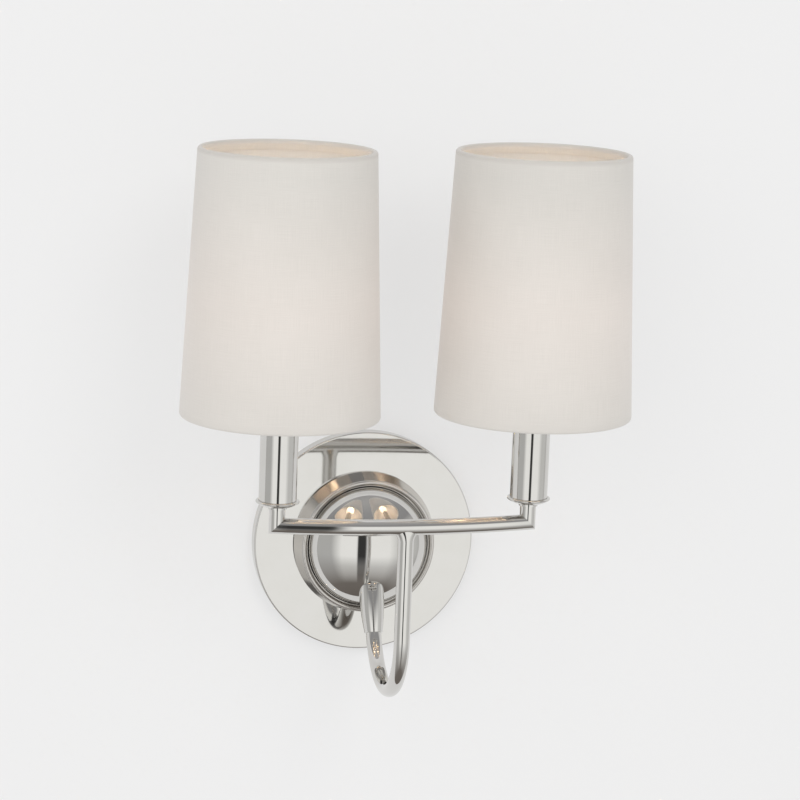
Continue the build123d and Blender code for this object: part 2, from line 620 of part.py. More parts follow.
def glass_side(offset):
    """The bulb's side, moved inwards by an offset: from the neck to the widest point to the tip."""
    neck = (BULB_BASE_RADIUS - offset, BULB_BASE_TOP)
    widest = (GLASS_RADIUS - offset, GLASS_WIDEST)
    tip = (GLASS_TIP_RADIUS - offset / 2, GLASS_TOP - offset)
    return [TangentArc(widest, neck, tangent=(0, -1)), TangentArc(widest, tip, tangent=(0, 1)), neck, tip]


def make_bulb_glass():
    """The candle-shaped glass, hollow and open at the neck."""
    lower, upper, neck, tip = glass_side(0)
    lower_in, upper_in, neck_in, tip_in = glass_side(GLASS_WALL)
    crown = (0, tip[1])
    crown_in = (0, tip_in[1])
    return turned(
        lower,
        upper,
        Line(tip, crown),
        Line(crown, crown_in),
        Line(crown_in, tip_in),
        upper_in,
        lower_in,
        Line(neck_in, neck),
    )


def make_bulb_filament():
    """The stem with four lit rods between two small discs."""
    lower = BULB_BASE_TOP + STEM_LENGTH
    upper = lower + FILAMENT_LENGTH
    body = rod(STEM_RADIUS, BULB_BASE_TOP, lower + FILAMENT_DISC / 2)
    for level in (lower, upper):
        body += rod(FILAMENT_CIRCLE + 2 * FILAMENT_RADIUS, level, level + FILAMENT_DISC)
    for turn in range(4):
        light = rod(FILAMENT_RADIUS, lower + FILAMENT_DISC / 2, upper + FILAMENT_DISC / 2)
        light = Pos(FILAMENT_CIRCLE, 0, 0) * light
        body += Rot(0, 0, 45 + 90 * turn) * light
    return body


# ---- Shade and clip -------------------------------------------------------------------------------
def shade_radius(height):
    """The shade's outer radius at a height."""
    part = (height - SHADE_LOW) / SHADE_HEIGHT
    return SHADE_BOTTOM_RADIUS + (SHADE_TOP_RADIUS - SHADE_BOTTOM_RADIUS) * part


def ring_radius(top):
    """The radius of the wire ring inside the upper or lower hem."""
    return (SHADE_TOP_RADIUS if top else SHADE_BOTTOM_RADIUS) - HEM_RADIUS


def ring_height(top):
    """The height of the wire ring inside the upper or lower hem."""
    return SHADE_TOP - HEM_RADIUS if top else SHADE_LOW + HEM_RADIUS


def hem(top):
    """A rolled edge: the skin turns over the wire ring and ends in a short return."""
    sign = 1 if top else -1
    centre = ring_radius(top)
    level = ring_height(top)
    outer = HEM_RADIUS
    inner = HEM_RADIUS - SHADE_SKIN
    foot = level - sign * HEM_RETURN
    return turned(
        ThreePointArc((centre + outer, level), (centre, level + sign * outer), (centre - outer, level)),
        Line((centre - outer, level), (centre - outer, foot)),
        Line((centre - outer, foot), (centre - inner, foot)),
        Line((centre - inner, foot), (centre - inner, level)),
        ThreePointArc((centre - inner, level), (centre, level + sign * inner), (centre + inner, level)),
        Line((centre + inner, level), (centre + outer, level)),
    )


def make_shade_skin():
    """The tapered drum with a rolled edge at the top and the bottom."""
    low = ring_height(False)
    high = ring_height(True)
    drum = turned(*polygon(
        (SHADE_BOTTOM_RADIUS - SHADE_SKIN, low),
        (SHADE_BOTTOM_RADIUS, low),
        (SHADE_TOP_RADIUS, high),
        (SHADE_TOP_RADIUS - SHADE_SKIN, high),
    ))
    return drum + hem(True) + hem(False)


def make_shade_bottom_ring():
    """The wire ring in the lower hem."""
    return ring_wire(ring_radius(False), FRAME_WIRE_RADIUS, ring_height(False))


def make_shade_frame():
    """The shade's hub, its two arms and the wire ring in the upper hem."""
    hub = tube(HUB_RADIUS, RIVET_RADIUS + RIVET_PLAY, HUB_Z, HUB_Z + HUB_THICK)
    reach = ring_radius(True)
    ring = Rot(0, 0, 90) * ring_wire(reach, FRAME_WIRE_RADIUS, ring_height(True))
    level = HUB_Z + HUB_THICK / 2
    start = (HUB_RADIUS - ARM_WIRE_RADIUS, 0, level)
    bend = (reach, 0, level + ARM_BEND_RISE)
    end = (reach, 0, ring_height(True) - FRAME_WIRE_RADIUS / 2)
    arm = wire(FilletPolyline(start, bend, end, radius=ARM_BEND_RADIUS), ARM_WIRE_RADIUS)
    return hub + ring + arm + Rot(0, 0, 180) * arm


def make_bulb_clip():
    """Two hairpin wires that sit on the bulb, hung from a small washer."""
    body = tube(CLIP_WASHER_RADIUS, RIVET_RADIUS, CLIP_WASHER_Z, HUB_Z)
    out = GLASS_RADIUS + CLIP_WIRE_RADIUS + SEAT_GAP
    top = CLIP_WASHER_Z + HUB_THICK / 2
    for side in (-1, 1):
        path = FilletPolyline(
            (-CLIP_TOP_HALF_WIDTH, side * CLIP_TOP_OUT, top),
            (-CLIP_HALF_WIDTH, side * out, GLASS_WIDEST),
            (CLIP_HALF_WIDTH, side * out, GLASS_WIDEST),
            (CLIP_TOP_HALF_WIDTH, side * CLIP_TOP_OUT, top),
            radius=CLIP_CORNER,
        )
        body += wire(path, CLIP_WIRE_RADIUS)
    return body


def make_clip_rivet():
    """The rivet through the clip's washer and the shade's hub."""
    top = HUB_Z + HUB_THICK + RIVET_PLAY
    low = CLIP_WASHER_Z
    shank = rod(RIVET_RADIUS, low - RIVET_HEAD_HEIGHT, top + RIVET_HEAD_HEIGHT)
    lower_head = rod(RIVET_HEAD_RADIUS, low - RIVET_HEAD_HEIGHT, low)
    upper_head = rod(RIVET_HEAD_RADIUS, top, top + RIVET_HEAD_HEIGHT)
    return shank + lower_head + upper_head


SET_SCREW_AT = ARM_AT_HUB + ARM_GRIP / 2

os.makedirs("parts", exist_ok=True)
single = {
    "wall_bracket": make_wall_bracket,
    "ground_screw": make_ground_screw,
    "hanger_clip": make_hanger_clip,
    "lock_screw": make_lock_screw,
    "hub_screws": make_hub_screws,
    "backplate": make_backplate,
    "collar_ring": make_collar_ring,
    "dome": make_dome,
    "hub_block": make_hub_block,
    "arm_set_screw": make_arm_set_screw,
    "arm_ferrule": make_arm_ferrule,
    "hook_arm": make_hook_arm,
    "cross_tube": make_cross_tube,
}
for node, maker in single.items():
    export_step(maker(), f"parts/{node}.step")

paired = {
    "dish": make_dish,
    "socket_nipple": make_socket_nipple,
    "socket_post": make_socket_post,
    "socket_body": make_socket_body,
    "socket_shell": make_socket_shell,
    "socket_contact": make_socket_contact,
    "candle_sleeve": make_candle_sleeve,
    "bulb_base": make_bulb_base,
    "bulb_glass": make_bulb_glass,
    "bulb_filament": make_bulb_filament,
    "bulb_clip": make_bulb_clip,
    "clip_rivet": make_clip_rivet,
    "shade_frame": make_shade_frame,
    "shade_bottom_ring": make_shade_bottom_ring,
    "shade_skin": make_shade_skin,
}
for node, maker in paired.items():
    piece = maker()
    for name, side in SIDES:
        placed = Pos(side * CANDLE_SPACING / 2, -CANDLE_OUT, 0) * piece
        export_step(placed, f"parts/{node}_{name}.step")
for name, side in SIDES:
    export_step(make_riser(side), f"parts/riser_{name}.step")

print("arm meets the dome at", round(ARM_AT_DOME, 2), "mm; hub depth", round(HUB_DEPTH - PLATE_DEPTH, 2))
print("sleeve top", SLEEVE_TOP, "bulb top", round(GLASS_TOP, 2), "shade", SHADE_LOW, "to", SHADE_TOP)
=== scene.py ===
import json
import math

import bmesh
import bpy
import numpy as np
from mathutils import Matrix, Vector


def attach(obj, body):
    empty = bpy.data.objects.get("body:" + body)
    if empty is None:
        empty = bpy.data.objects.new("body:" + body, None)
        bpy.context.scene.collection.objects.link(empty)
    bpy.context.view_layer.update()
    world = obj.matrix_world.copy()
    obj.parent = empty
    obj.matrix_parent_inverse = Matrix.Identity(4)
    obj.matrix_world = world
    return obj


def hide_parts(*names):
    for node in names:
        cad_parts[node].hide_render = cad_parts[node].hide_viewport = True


# Looks of the double arm wall sconce. Metres, in the CAD's frame: +X right, +Y into the wall, +Z up.

SIDES = (("left", -1), ("right", 1))
CANDLE_X = 0.0755
CANDLE_Y = -0.115
ACROSS, DEEP, UPRIGHT = Vector((1, 0, 0)), Vector((0, 1, 0)), Vector((0, 0, 1))

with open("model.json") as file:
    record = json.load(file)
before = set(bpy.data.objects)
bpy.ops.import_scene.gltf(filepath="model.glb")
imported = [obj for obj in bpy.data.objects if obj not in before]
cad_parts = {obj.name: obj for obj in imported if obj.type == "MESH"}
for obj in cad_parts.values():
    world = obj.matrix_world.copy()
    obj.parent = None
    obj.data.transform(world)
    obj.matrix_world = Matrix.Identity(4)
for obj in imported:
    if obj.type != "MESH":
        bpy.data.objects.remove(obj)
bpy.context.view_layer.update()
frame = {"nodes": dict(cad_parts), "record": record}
NODES = frame["nodes"]


# ---- Camera ---------------------------------------------------------------------------------------
CAMERA_PLACE = (-0.3788, -1.7416, 0.4335)
CAMERA_TURN = (12.95, 10.94, 2.19)      # yaw, pitch and roll in degrees
FOCAL_PIXELS, IMAGE_PIXELS, SENSOR_MM = 2918.7, 800, 36


def make_camera():
    """The photograph's viewpoint, fitted to the outlines in it."""
    yaw, pitch, roll = (math.radians(a) for a in CAMERA_TURN)
    forward = Vector((math.sin(yaw) * math.cos(pitch), math.cos(yaw) * math.cos(pitch), -math.sin(pitch)))
    level = Vector((math.cos(yaw), -math.sin(yaw), 0))
    above = level.cross(forward)
    right = math.cos(roll) * level + math.sin(roll) * above
    up = -math.sin(roll) * level + math.cos(roll) * above
    data = bpy.data.cameras.new("camera")
    data.sensor_width = SENSOR_MM
    data.lens = FOCAL_PIXELS * SENSOR_MM / IMAGE_PIXELS
    data.clip_end = 50
    cam = bpy.data.objects.new("camera", data)
    bpy.context.scene.collection.objects.link(cam)
    turn = Matrix((right, up, -forward)).transposed().to_4x4()
    cam.matrix_world = Matrix.Translation(CAMERA_PLACE) @ turn
    bpy.context.scene.camera = cam


# ---- Materials ------------------------------------------------------------------------------------
class Nodes:
    """Short names for making one material's node tree."""

    def __init__(self, name):
        self.material = bpy.data.materials.new(name)
        self.material.use_nodes = True
        self.tree = self.material.node_tree
        self.shader = self.tree.nodes["Principled BSDF"]
        self.coords = self.tree.nodes.new("ShaderNodeTexCoord")

    def new(self, kind, **values):
        node = self.tree.nodes.new("ShaderNode" + kind)
        for key, value in values.items():
            if hasattr(node, key):
                setattr(node, key, value)
            else:
                node.inputs[key.replace("_", " ").title()].default_value = value
        return node

    def link(self, source, target):
        self.tree.links.new(source, target)

    def set(self, **values):
        for key, value in values.items():
            self.shader.inputs[key.replace("_", " ").title()].default_value = value

    def noise(self, scale, detail=3.0, stretch=(1, 1, 1), source="Object"):
        mapping = self.new("Mapping")
        mapping.inputs["Scale"].default_value = stretch
        self.link(self.coords.outputs[source], mapping.inputs["Vector"])
        node = self.new("TexNoise", scale=scale, detail=detail)
        self.link(mapping.outputs["Vector"], node.inputs["Vector"])
        return node.outputs["Fac"]

    def ramp(self, source, low, high, to_low, to_high):
        node = self.new("MapRange")
        for key, value in zip(("From Min", "From Max", "To Min", "To Max"), (low, high, to_low, to_high)):
            node.inputs[key].default_value = value
        self.link(source, node.inputs["Value"])
        return node.outputs["Result"]

    def blend(self, source, low, high):
        node = self.new("Mix", data_type="RGBA")
        node.inputs["A"].default_value = (*low, 1)
        node.inputs["B"].default_value = (*high, 1)
        self.link(source, node.inputs["Factor"])
        return node.outputs["Result"]

    def bump(self, source, distance, strength):
        node = self.new("Bump")
        node.inputs["Strength"].default_value = strength
        node.inputs["Distance"].default_value = distance
        self.link(source, node.inputs["Height"])
        self.link(node.outputs["Normal"], self.shader.inputs["Normal"])


def metal(name, colour, dull, roughness, spread, scale=60.0):
    """Plated or bare metal whose polish varies a little from place to place."""
    n = Nodes(name)
    n.set(metallic=1.0)
    cloud = n.noise(scale, detail=4.0)
    n.link(n.blend(n.ramp(cloud, 0.35, 0.7, 0, 1), colour, dull), n.shader.inputs["Base Color"])
    n.link(n.ramp(cloud, 0.3, 0.7, roughness, roughness + spread), n.shader.inputs["Roughness"])
    return n.material


NICKEL = (0.675, 0.665, 0.645)
MATERIALS = {
    "polished_nickel": metal("polished_nickel", NICKEL, (0.66, 0.65, 0.625), 0.03, 0.015),
    "sleeve_nickel": metal("sleeve_nickel", NICKEL, (0.655, 0.645, 0.62), 0.035, 0.02),
    # The collar is the same polished nickel as the rest, its colour painted darker: painted shade for the
    # dimmer reflections on it.
    "collar_nickel_painted_darker": metal("collar_nickel_painted_darker", (0.60, 0.58, 0.555), (0.585, 0.56, 0.535), 0.11, 0.02),
    "zinc_steel": metal("zinc_steel", (0.62, 0.62, 0.60), (0.52, 0.53, 0.54), 0.32, 0.12, 180.0),
    "brass": metal("brass", (0.78, 0.60, 0.30), (0.66, 0.49, 0.24), 0.22, 0.12, 140.0),
    "frame_wire": metal("frame_wire", (0.72, 0.70, 0.66), (0.60, 0.58, 0.55), 0.22, 0.1, 160.0),
}


def make_screw_green():
    n = Nodes("ground_green")
    n.set(metallic=0.6)
    cloud = n.noise(220.0)
    n.link(n.blend(cloud, (0.05, 0.26, 0.09), (0.09, 0.38, 0.15)), n.shader.inputs["Base Color"])
    n.link(n.ramp(cloud, 0.3, 0.7, 0.3, 0.45), n.shader.inputs["Roughness"])
    return n.material


def make_phenolic():
    n = Nodes("socket_phenolic")
    cloud = n.noise(300.0)
    n.link(n.blend(cloud, (0.035, 0.03, 0.028), (0.055, 0.05, 0.045)), n.shader.inputs["Base Color"])
    n.link(n.ramp(cloud, 0.3, 0.7, 0.42, 0.55), n.shader.inputs["Roughness"])
    return n.material


def make_bulb_glass():
    """Lightly frosted glass, glowing from the lit rods behind it."""
    n = Nodes("bulb_glass")
    n.set(roughness=0.12, alpha=0.65)
    n.shader.inputs["Emission Color"].default_value = (1.0, 0.80, 0.66, 1)
    n.shader.inputs["Emission Strength"].default_value = 0.55
    cloud = n.noise(45.0)
    n.link(n.blend(cloud, (0.70, 0.66, 0.60), (0.64, 0.60, 0.53)), n.shader.inputs["Base Color"])
    return n.material


def make_filament():
    n = Nodes("lit_filament")
    n.set(roughness=0.5)
    n.shader.inputs["Emission Color"].default_value = (1.0, 0.82, 0.62, 1)
    n.shader.inputs["Emission Strength"].default_value = 5.0
    cloud = n.noise(200.0)
    n.link(n.blend(cloud, (1.0, 0.84, 0.55), (1.0, 0.78, 0.45)), n.shader.inputs["Base Color"])
    return n.material


def dress_cad():
    """Every carried-over CAD node takes the material of its slot in the record."""
    MATERIALS["ground_green"] = make_screw_green()
    MATERIALS["socket_phenolic"] = make_phenolic()
    MATERIALS["bulb_glass"] = make_bulb_glass()
    MATERIALS["lit_filament"] = make_filament()
    MATERIALS["shade_linen"] = make_linen()
    for part in frame["record"]["subparts"]:
        node = NODES[part["node"]]
        node.data.materials.clear()
        node.data.materials.append(MATERIALS[part["material_slot"]])


# ---- Turned and bent pieces -----------------------------------------------------------------------
SHARP_EDGE = math.radians(30)


def arc(centre, radius, start, stop, steps):
    """Points on an arc in a profile, from one angle to another in degrees."""
    angles = np.radians(np.linspace(start, stop, steps))
    return [(centre[0] + radius * math.cos(a), centre[1] + radius * math.sin(a)) for a in angles]


def arc_through(first, middle, last, steps):
    """Points on the arc through three points of a profile."""
    p, q, r = (np.array(v, float) for v in (first, middle, last))
    sides = 2 * np.array([q - p, r - p])
    centre = np.linalg.solve(sides, [q @ q - p @ p, r @ r - p @ p])
    radius = np.linalg.norm(p - centre)
    start, via, stop = (math.degrees(math.atan2(*(v - centre)[::-1])) for v in (p, q, r))
    via, stop = (start + (a - start + 180) % 360 - 180 for a in (via, stop))
    if (via - start) * (stop - start) < 0:
        stop -= math.copysign(360, stop - start)
    return arc(centre, radius, start, stop, steps)


def straight(first, last, guard=0.0002):
    """A profile's straight run, with a point close to each end to keep the shading flat."""
    p, q = np.array(first, float), np.array(last, float)
    step = (q - p) / np.linalg.norm(q - p) * guard
    return [tuple(v) for v in (p, p + step, q - step, q)]


def add_mesh(name, verts, faces, material, uvs=None):
    """A smooth-shaded mesh object that keeps its sharp edges crisp."""
    mesh = bpy.data.meshes.new(name)
    mesh.from_pydata(verts, [], faces)
    if uvs is not None:
        corners = [loop.vertex_index for loop in mesh.loops]
        layer = mesh.uv_layers.new(name="UVMap")
        layer.data.foreach_set("uv", np.asarray(uvs, float)[corners].ravel())
    shape = bmesh.new()
    shape.from_mesh(mesh)
    bmesh.ops.remove_doubles(shape, verts=shape.verts, dist=1e-7)
    bmesh.ops.recalc_face_normals(shape, faces=shape.faces)
    shape.to_mesh(mesh)
    shape.free()
    mesh.shade_smooth()
    mesh.set_sharp_from_angle(angle=SHARP_EDGE)
    mesh.materials.append(material)
    obj = bpy.data.objects.new(name, mesh)
    bpy.context.scene.collection.objects.link(obj)
    return obj


def lathe_data(profile, steps, closed):
    """Vertices and faces of a profile of (radius, height) turned about Z."""
    angles = np.linspace(0, 2 * math.pi, steps, endpoint=False)
    verts = [(r * math.cos(a), r * math.sin(a), h) for a in angles for r, h in profile]
    count = len(profile)
    rows = range(count if closed else count - 1)
    faces = []
    for i in range(steps):
        here, there = i * count, (i + 1) % steps * count
        faces += [(here + j, there + j, there + (j + 1) % count, here + (j + 1) % count) for j in rows]
    return verts, faces


def rings_data(rings):
    """Vertices and faces of a solid skinned over rings of equal count, capped at both ends."""
    count = len(rings[0])
    verts = [tuple(v) for ring in rings for v in ring]
    faces = []
    for i in range(len(rings) - 1):
        here, there = i * count, (i + 1) * count
        for j in range(count):
            following = (j + 1) % count
            faces.append((here + j, here + following, there + following, there + j))
    last = (len(rings) - 1) * count
    faces += [tuple(range(count)), tuple(range(last, last + count))]
    return verts, faces


def cut(obj, *cutters):
    """Takes the cutters' solids out of a piece and deletes them."""
    for cutter in cutters:
        change = obj.modifiers.new("cut", "BOOLEAN")
        change.object = cutter
        change.solver = "EXACT"
    bpy.context.view_layer.update()
    evaluated = obj.evaluated_get(bpy.context.evaluated_depsgraph_get())
    mesh = bpy.data.meshes.new_from_object(evaluated)
    obj.modifiers.clear()
    obj.data = mesh
    mesh.shade_smooth()
    mesh.set_sharp_from_angle(angle=SHARP_EDGE)
    for cutter in cutters:
        bpy.data.objects.remove(cutter)


# ---- Polished metal -------------------------------------------------------------------------------
# The sizes of the solids, with fine steps, because a mirror finish shows every facet.
PLATE_R, PLATE_DEPTH, PLATE_ROUND, PLATE_WALL = 0.0695, 0.0085, 0.001, 0.0015
WIRE_HOLE = 0.004
LOCK_HOLE, LOCK_RUN = 0.00205, (-0.0735, -0.064)
COLLAR_BASE, COLLAR_RIM, COLLAR_RISE, COLLAR_BEAD = 0.0448, 0.0405, 0.0143, 0.0015
COLLAR_BORE, COLLAR_FOOT, COLLAR_FLANGE, SEAT_GAP = 0.029, 0.0014, 0.0015, 0.0003
TROUGH = 0.0022                         # shallower than in the solid, where its floor is out of sight
DOME_R, DOME_KNUCKLE, DOME_CROWN, DOME_WALL = 0.0378, 0.0181, 0.047, 0.0016
DOME_SEAT = PLATE_DEPTH + COLLAR_FLANGE
DOME_SHOULDER = DOME_SEAT + 0.00762
DOME_LEAN = math.asin((DOME_R - DOME_KNUCKLE) / (DOME_CROWN - DOME_KNUCKLE))
DOME_CROWN_OUT = DOME_SHOULDER - (DOME_CROWN - DOME_KNUCKLE) * math.cos(DOME_LEAN)
DOME_TURN = 90 - math.degrees(DOME_LEAN)
TUBE_R, TUBE_STEPS = 0.0047, 96
BAR_Z, BAR_BOW = 0.0367, 0.0085
BAR_Y = CANDLE_Y - BAR_BOW
BAR_R = (CANDLE_X ** 2 + BAR_BOW ** 2) / (2 * BAR_BOW)
BAR_CENTRE_Y = BAR_Y + BAR_R
MITRE_RUN = 0.0056                      # from the corner back to the bar's last square ring
BRANCH_DROP, BRANCH_FLARE, BRANCH_THIN = 0.012, 0.0043, 0.0004
BRANCH_START, BRANCH_END = 0.001, 0.009
HOOK_R, HOOK_DROP, LEAN = 0.0405, 0.0684, math.radians(25)
HOOK_Y, HOOK_Z = BAR_Y + HOOK_R, BAR_Z - HOOK_DROP
ARM_FOOT = Vector((0, HOOK_Y + HOOK_R * math.cos(LEAN), HOOK_Z - HOOK_R * math.sin(LEAN)))
ARM_UP = Vector((0, math.sin(LEAN), math.cos(LEAN)))
HUB_LOW, ARM_GRIP = -0.012, 0.012       # the hub block's underside, and the arm's length inside it
ARM_LENGTH = (HUB_LOW - ARM_FOOT.z) / math.cos(LEAN) + ARM_GRIP
ARM_GUARD = 0.0005                      # keeps the arm's rings apart where a straight meets the bend
FERRULE_PAST_DOME, FERRULE_GAP = 0.0052, 0.00005
RISER_TOP, RISER_GUARD = BAR_Z + 0.0103, 0.0003
DISH_FLOOR = RISER_TOP + 0.004
SLEEVE_R, SLEEVE_WALL, SLEEVE_TOP = 0.0111, 0.0007, DISH_FLOOR + 0.076


def dress(obj, node):
    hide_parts(node)
    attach(obj, "sconce")


def turned_out(name, profile, steps=320, finish="polished_nickel"):
    """A profile of (radius, distance from the wall) turned about the axis that points out of the wall."""
    verts, faces = lathe_data(profile, steps, True)
    return add_mesh(name, [(x, -h, z) for x, z, h in verts], faces, MATERIALS[finish])


def turned_up(name, profile, side, material, steps=192):
    """A profile of (radius, height) turned about a candle's axis."""
    verts, faces = lathe_data(profile, steps, True)
    return add_mesh(name, [(x + side * CANDLE_X, y + CANDLE_Y, z) for x, y, z in verts], faces, material)


def circle(centre, across, up, wide, deep, steps):
    angles = np.linspace(0, 2 * math.pi, steps, endpoint=False)
    return [Vector(centre) + across * (wide * math.cos(a)) + up * (deep * math.sin(a)) for a in angles]


def make_plate():
    inside, back = PLATE_R - PLATE_WALL, PLATE_DEPTH - PLATE_WALL
    corner, shoulder = PLATE_R - PLATE_ROUND, PLATE_DEPTH - PLATE_ROUND
    profile = straight((WIRE_HOLE, back), (inside, back))
    profile += straight((inside, back), (inside, 0))[1:]
    profile += straight((inside, 0), (PLATE_R, 0))[1:]
    profile += straight((PLATE_R, 0), (PLATE_R, shoulder))[1:]
    profile += arc((corner, shoulder), PLATE_ROUND, 0, 90, 9)[1:]
    profile += straight((corner, PLATE_DEPTH), (WIRE_HOLE, PLATE_DEPTH))[1:]
    plate = turned_out("polished_backplate", profile, 384)
    rings = [circle((0, -PLATE_DEPTH / 2, z), ACROSS, DEEP, LOCK_HOLE, LOCK_HOLE, 32) for z in LOCK_RUN]
    cut(plate, add_mesh("cutter", *rings_data(rings), MATERIALS["polished_nickel"]))
    dress(plate, "backplate")


def make_collar():
    outer, inner = COLLAR_RIM + COLLAR_BEAD, COLLAR_RIM - COLLAR_BEAD
    lip, bead_out = DOME_R + SEAT_GAP, COLLAR_RISE - COLLAR_BEAD
    lip_out = COLLAR_RISE - TROUGH
    cove = (inner - 0.28 * (inner - lip), bead_out - 0.62 * (bead_out - lip_out))
    profile = straight((COLLAR_BORE, 0), (COLLAR_BASE, 0))
    profile += straight((COLLAR_BASE, 0), (COLLAR_BASE, COLLAR_FOOT))[1:]
    profile += straight((COLLAR_BASE, COLLAR_FOOT), (outer, bead_out))[1:]
    profile += arc((COLLAR_RIM, bead_out), COLLAR_BEAD, 0, 180, 25)
    profile += arc_through((inner, bead_out), cove, (lip, lip_out), 25)[1:]
    profile += straight((lip, lip_out), (lip, COLLAR_FLANGE))[1:]
    profile += straight((lip, COLLAR_FLANGE), (COLLAR_BORE, COLLAR_FLANGE))[1:]
    profile = [(r, h + PLATE_DEPTH) for r, h in profile]
    collar = turned_out("polished_collar", profile, finish="collar_nickel_painted_darker")
    dress(collar, "collar_ring")


def dome_side(inset, steps=61):
    """The dome's straight side, knuckle and crown, set in from its outside."""
    side = DOME_R - inset
    profile = straight((side, DOME_SEAT), (side, DOME_SHOULDER))
    profile += arc((DOME_R - DOME_KNUCKLE, DOME_SHOULDER), DOME_KNUCKLE - inset, 0, DOME_TURN, steps)[1:]
    return profile + arc((0, DOME_CROWN_OUT), DOME_CROWN - inset, DOME_TURN, 90, steps)[1:]


def make_dome():
    dress(turned_out("polished_dome", dome_side(0) + dome_side(DOME_WALL)[::-1]), "dome")


def arm_at_dome():
    """How far up the rear leg's axis it meets the dome's crown."""
    out = -ARM_FOOT.y - DOME_CROWN_OUT
    along = math.sin(LEAN) * out - math.cos(LEAN) * ARM_FOOT.z
    return along - math.sqrt(along ** 2 - out ** 2 - ARM_FOOT.z ** 2 + DOME_CROWN ** 2)


def make_ferrule():
    bore, end, middle, wide, soft = 0.00475, 0.0055, 0.0073, 0.0077, 0.0013
    length = arm_at_dome() + FERRULE_PAST_DOME
    neck = length - soft
    profile = straight((bore, 0), (end, 0))
    profile += arc_through((end, 0), (middle, length / 2), (wide, neck), 49)
    profile += arc((wide - soft, neck), soft, 0, 90, 9)[1:]
    profile += straight((wide - soft, length), (bore, length))[1:]
    back = ARM_UP.cross(ACROSS)
    verts, faces = lathe_data(profile, 128, True)
    verts = [tuple(ARM_FOOT + ACROSS * x + back * y + ARM_UP * z) for x, y, z in verts]
    ferrule = add_mesh("polished_ferrule", verts, faces, MATERIALS["polished_nickel"])
    cut(ferrule, turned_out("cutter", dome_side(-FERRULE_GAP) + [(0, DOME_SEAT)], 192))
    dress(ferrule, "arm_ferrule")


def make_arm():
    """Out of the hub block, down through the ferrule, round the hook and up to the bar."""
    line = [(ARM_FOOT + ARM_UP * d, ARM_UP) for d in np.linspace(ARM_LENGTH, ARM_GUARD, 9)]
    for angle in np.linspace(-LEAN, -math.pi, 121):
        place = Vector((0, HOOK_Y + HOOK_R * math.cos(angle), HOOK_Z + HOOK_R * math.sin(angle)))
        line.append((place, Vector((0, -math.sin(angle), math.cos(angle)))))
    heights = np.linspace(HOOK_Z + ARM_GUARD, BAR_Z - BRANCH_DROP, 9)
    line += [(Vector((0, BAR_Y, z)), -UPRIGHT) for z in heights]
    rings = [circle(place, ACROSS, ACROSS.cross(along), TUBE_R, TUBE_R, TUBE_STEPS) for place, along in line]
    dress(add_mesh("polished_arm", *rings_data(rings), MATERIALS["polished_nickel"]), "hook_arm")


def corner_plane(side):
    """The bar's direction at its end and the mitre's normal there."""
    along = Vector((side * -(CANDLE_Y - BAR_CENTRE_Y), CANDLE_X, 0)).normalized()
    return along, (along + UPRIGHT).normalized()


def make_bar():
    """The bowed bar, mitred at both ends, with the branch that widens into it."""
    reach = math.asin(CANDLE_X / BAR_R)
    inset = MITRE_RUN / BAR_R
    rings = []
    for angle in [-reach, *np.linspace(inset - reach, reach - inset, 97), reach]:
        place = Vector((BAR_R * math.sin(angle), BAR_CENTRE_Y - BAR_R * math.cos(angle), BAR_Z))
        across = Vector((math.sin(angle), -math.cos(angle), 0))
        rings.append(circle(place, across, UPRIGHT, TUBE_R, TUBE_R, TUBE_STEPS))
    for index, side in ((0, -1), (-1, 1)):
        along, normal = corner_plane(side)
        corner = Vector((side * CANDLE_X, CANDLE_Y, BAR_Z))
        rings[index] = [v - along * ((v - corner).dot(normal) / along.dot(normal)) for v in rings[index]]
    verts, faces = rings_data(rings)
    branch = []
    for part in np.linspace(0, 1, 33):
        wide, deep = TUBE_R + BRANCH_FLARE * (1 - part) ** 2, TUBE_R - BRANCH_THIN * (1 - part)
        place = (0, BAR_Y, BAR_Z - BRANCH_START - (BRANCH_END - BRANCH_START) * part)
        branch.append(circle(place, ACROSS, DEEP, wide, deep, TUBE_STEPS))
    branch.append(circle((0, BAR_Y, BAR_Z - BRANCH_DROP), ACROSS, DEEP, TUBE_R, TUBE_R, TUBE_STEPS))
    more, sides = rings_data(branch)
    faces += [tuple(i + len(verts) for i in face) for face in sides]
    dress(add_mesh("polished_bar", verts + more, faces, MATERIALS["polished_nickel"]), "cross_tube")


def make_risers():
    for name, side in SIDES:
        normal = corner_plane(side)[1]
        centre = Vector((side * CANDLE_X, CANDLE_Y, RISER_TOP))
        top = circle(centre, ACROSS, DEEP, TUBE_R, TUBE_R, TUBE_STEPS)
        low = []
        for v in top:
            offset = v - centre
            low.append(Vector((v.x, v.y, BAR_Z - (offset.x * normal.x + offset.y * normal.y) / normal.z)))
        middle = [Vector((v.x, v.y, RISER_TOP - RISER_GUARD)) for v in top]
        verts, faces = rings_data([low, middle, top])
        dress(add_mesh("polished_riser_" + name, verts, faces, MATERIALS["polished_nickel"]), "riser_" + name)


